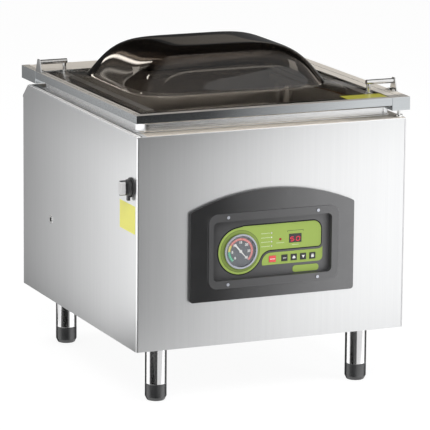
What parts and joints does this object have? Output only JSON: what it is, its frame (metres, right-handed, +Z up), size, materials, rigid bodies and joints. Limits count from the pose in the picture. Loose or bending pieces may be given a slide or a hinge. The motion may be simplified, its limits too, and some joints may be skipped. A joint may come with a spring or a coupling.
{
  "type": "vacuum sealer",
  "caption": "Chamber vacuum sealer: steel cabinet on legs, hinged lid with a smoked dome, seal bars in the chamber, arched control panel with a gauge and keys.",
  "frame": {"origin": "on the floor, under the middle of the cabinet", "axes": "+X to the machine's right as its user faces it, -Y towards the user, +Z up"},
  "size_m": [0.605, 0.6316, 0.6443],
  "materials": {
    "stainless_sheet": "vertically brushed",
    "polished_steel": "polished",
    "aluminium": "satin",
    "seal_tape": "coated woven tape",
    "white_board": "fine texture",
    "black_plastic": "fine texture",
    "bezel_plastic": "satin",
    "black_film": "semi gloss",
    "green_overlay": "semi gloss",
    "red_key": "semi gloss",
    "display_glass": "gloss",
    "lamp_plastic": "gloss",
    "board": "solder mask",
    "dial_paint": "matte",
    "needle_white": "painted",
    "clear_lens": "gloss",
    "yellow_label": "satin",
    "smoked_acrylic": "gloss, translucent",
    "gasket_rubber": "matte",
    "pump_casting": "painted casting",
    "motor_paint": "gloss paint",
    "rotor_steel": "machined",
    "filter_paint": "gloss paint",
    "valve_brass": "machined",
    "transformer_steel": "lacquered laminations"
  },
  "bodies": {
    "cabinet": {"left_side_panel": "stainless_sheet", "right_side_panel": "stainless_sheet", "front_panel": "stainless_sheet", "rear_panel": "stainless_sheet", "base_plate": "stainless_sheet", "top_deck": "stainless_sheet", "side_grommet": "polished_steel", "side_label": "yellow_label", "chamber_tub": "stainless_sheet", "chamber_rim": "stainless_sheet", "lift_posts": "polished_steel", "leg_tubes": "polished_steel", "control_bezel": "bezel_plastic", "control_tray": "bezel_plastic", "tray_collar": "bezel_plastic", "overlay_border": "black_film", "control_overlay": "green_overlay", "display_window": "display_glass", "status_lamps": "lamp_plastic", "panel_screws": "polished_steel", "circuit_board": "board", "gauge_case": "polished_steel", "gauge_dial": "dial_paint", "gauge_lens": "clear_lens", "switch_base": "black_plastic", "hinge_lugs": "stainless_sheet", "plunger_base": "polished_steel", "pump_body": "pump_casting", "pump_motor": "motor_paint", "fan_cowl": "motor_paint", "exhaust_filter": "filter_paint", "vacuum_hose": "gasket_rubber", "valve_block": "valve_brass", "transformer": "transformer_steel", "cable_gland": "black_plastic"},
    "lid": {"lid_rails": "stainless_sheet", "corner_blocks": "polished_steel", "lid_window": "smoked_acrylic", "lid_gasket": "gasket_rubber", "counter_bars": "aluminium", "lid_brackets": "polished_steel", "lid_label": "yellow_label", "hinge_knuckles": "polished_steel"},
    "seal_bar_left": {"seal_bar_left": "aluminium", "seal_tape_left": "seal_tape"},
    "seal_bar_right": {"seal_bar_right": "aluminium", "seal_tape_right": "seal_tape"},
    "filler_plate": {"filler_plate": "white_board"},
    "foot_front_left": {"foot_front_left": "black_plastic"},
    "foot_front_right": {"foot_front_right": "black_plastic"},
    "foot_rear_left": {"foot_rear_left": "black_plastic"},
    "foot_rear_right": {"foot_rear_right": "black_plastic"},
    "stop_key": {"stop_key": "red_key"},
    "set_key": {"set_key": "black_plastic"},
    "up_key": {"up_key": "black_plastic"},
    "down_key": {"down_key": "black_plastic"},
    "mode_key": {"mode_key": "black_plastic"},
    "gauge_needle": {"gauge_needle": "needle_white"},
    "switch_knob": {"switch_knob": "black_plastic"},
    "lid_plunger": {"lid_plunger": "polished_steel"},
    "motor_rotor": {"motor_rotor": "rotor_steel"}
  },
  "joints": [
    {"name": "lid_hinge", "type": "hinge", "parent": "cabinet", "child": "lid", "pos_m": [0, 0.279, 0.541], "axis": [-1, 0, 0], "range_deg": [0, 55]},
    {"name": "seal_bar_left_lift", "type": "slide", "parent": "cabinet", "child": "seal_bar_left", "axis": [0, 0, 1], "range_m": [0, 0.008]},
    {"name": "seal_bar_right_lift", "type": "slide", "parent": "cabinet", "child": "seal_bar_right", "axis": [0, 0, 1], "range_m": [0, 0.008]},
    {"name": "filler_plate_lift", "type": "slide", "parent": "cabinet", "child": "filler_plate", "axis": [0, 0, 1], "range_m": [0, 0.1]},
    {"name": "foot_front_left_turn", "type": "hinge", "parent": "cabinet", "child": "foot_front_left", "pos_m": [-0.212, -0.2395, 0.02], "axis": [0, 0, 1], "continuous": true},
    {"name": "foot_front_right_turn", "type": "hinge", "parent": "cabinet", "child": "foot_front_right", "pos_m": [0.212, -0.2395, 0.02], "axis": [0, 0, 1], "continuous": true},
    {"name": "foot_rear_left_turn", "type": "hinge", "parent": "cabinet", "child": "foot_rear_left", "pos_m": [-0.212, 0.2395, 0.02], "axis": [0, 0, 1], "continuous": true},
    {"name": "foot_rear_right_turn", "type": "hinge", "parent": "cabinet", "child": "foot_rear_right", "pos_m": [0.212, 0.2395, 0.02], "axis": [0, 0, 1], "continuous": true},
    {"name": "stop_key_press", "type": "slide", "parent": "cabinet", "child": "stop_key", "axis": [0, 1, 0], "range_m": [0, 0.0006], "stiffness_N_per_m": 400},
    {"name": "set_key_press", "type": "slide", "parent": "cabinet", "child": "set_key", "axis": [0, 1, 0], "range_m": [0, 0.0006], "stiffness_N_per_m": 400},
    {"name": "up_key_press", "type": "slide", "parent": "cabinet", "child": "up_key", "axis": [0, 1, 0], "range_m": [0, 0.0006], "stiffness_N_per_m": 400},
    {"name": "down_key_press", "type": "slide", "parent": "cabinet", "child": "down_key", "axis": [0, 1, 0], "range_m": [0, 0.0006], "stiffness_N_per_m": 400},
    {"name": "mode_key_press", "type": "slide", "parent": "cabinet", "child": "mode_key", "axis": [0, 1, 0], "range_m": [0, 0.0006], "stiffness_N_per_m": 400},
    {"name": "gauge_needle_turn", "type": "hinge", "parent": "cabinet", "child": "gauge_needle", "pos_m": [-0.0652, -0.304, 0.2928], "axis": [0, -1, 0], "range_deg": [0, 262], "stiffness_Nm_per_rad": 0.0002},
    {"name": "switch_knob_turn", "type": "hinge", "parent": "cabinet", "child": "switch_knob", "pos_m": [-0.28, -0.28, 0.429], "axis": [-1, 0, 0], "range_deg": [0, 90]},
    {"name": "lid_plunger_press", "type": "slide", "parent": "cabinet", "child": "lid_plunger", "axis": [0, 0, 1], "range_m": [-0.005, 0], "stiffness_N_per_m": 300, "springref_m": 0.003},
    {"name": "motor_rotor_spin", "type": "hinge", "parent": "cabinet", "child": "motor_rotor", "pos_m": [-0.1, 0.152, 0.2055], "axis": [1, 0, 0], "continuous": true}
  ],
  "couplings": [
    {"joint": "seal_bar_right_lift", "follows": "seal_bar_left_lift", "ratio": 1}
  ]
}
